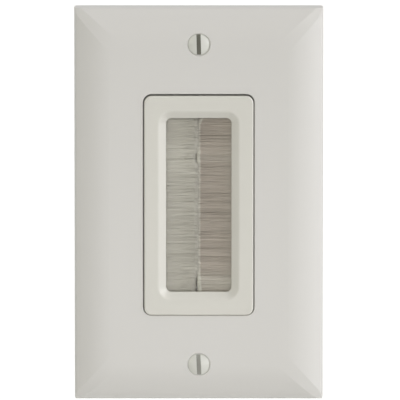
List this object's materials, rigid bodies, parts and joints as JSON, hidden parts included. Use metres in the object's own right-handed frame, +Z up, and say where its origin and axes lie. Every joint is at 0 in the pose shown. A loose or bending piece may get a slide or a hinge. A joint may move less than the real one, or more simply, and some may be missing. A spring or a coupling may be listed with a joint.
{
  "type": "brush wall plate",
  "caption": "Wall plate with a decorator-style opening and a moulded insert whose tall window is closed by facing strip brushes, for passing cables through a wall.",
  "frame": {"origin": "on the wall plane, at the middle of the plate's rim, midway between the two box screws", "axes": "+X to the viewer's right, +Y into the wall along the box screws, +Z up; the front of the plate faces -Y"},
  "size_m": [0.0746, 0.0306, 0.119],
  "materials": {
    "plate_nylon": "satin",
    "insert_nylon": "satin",
    "retainer_nylon": "satin",
    "bristle_nylon": "satin",
    "painted_steel": "satin",
    "zinc_plated_steel": "satin",
    "galvanised_steel": "matte",
    "vulcanised_fibre": "matte"
  },
  "bodies": {
    "root": {"wall_plate": "plate_nylon", "insert_frame": "insert_nylon", "brush_retainer": "retainer_nylon", "left_bristles": "bristle_nylon", "right_bristles": "bristle_nylon", "left_brush_channel": "galvanised_steel", "right_brush_channel": "galvanised_steel", "left_core_wire": "galvanised_steel", "right_core_wire": "galvanised_steel", "upper_plate_screw": "painted_steel", "lower_plate_screw": "painted_steel", "upper_box_screw": "zinc_plated_steel", "lower_box_screw": "zinc_plated_steel", "upper_screw_washer": "vulcanised_fibre", "lower_screw_washer": "vulcanised_fibre", "retainer_screw_upper_left": "zinc_plated_steel", "retainer_screw_upper_right": "zinc_plated_steel", "retainer_screw_lower_left": "zinc_plated_steel", "retainer_screw_lower_right": "zinc_plated_steel"}
  },
  "joints": []
}
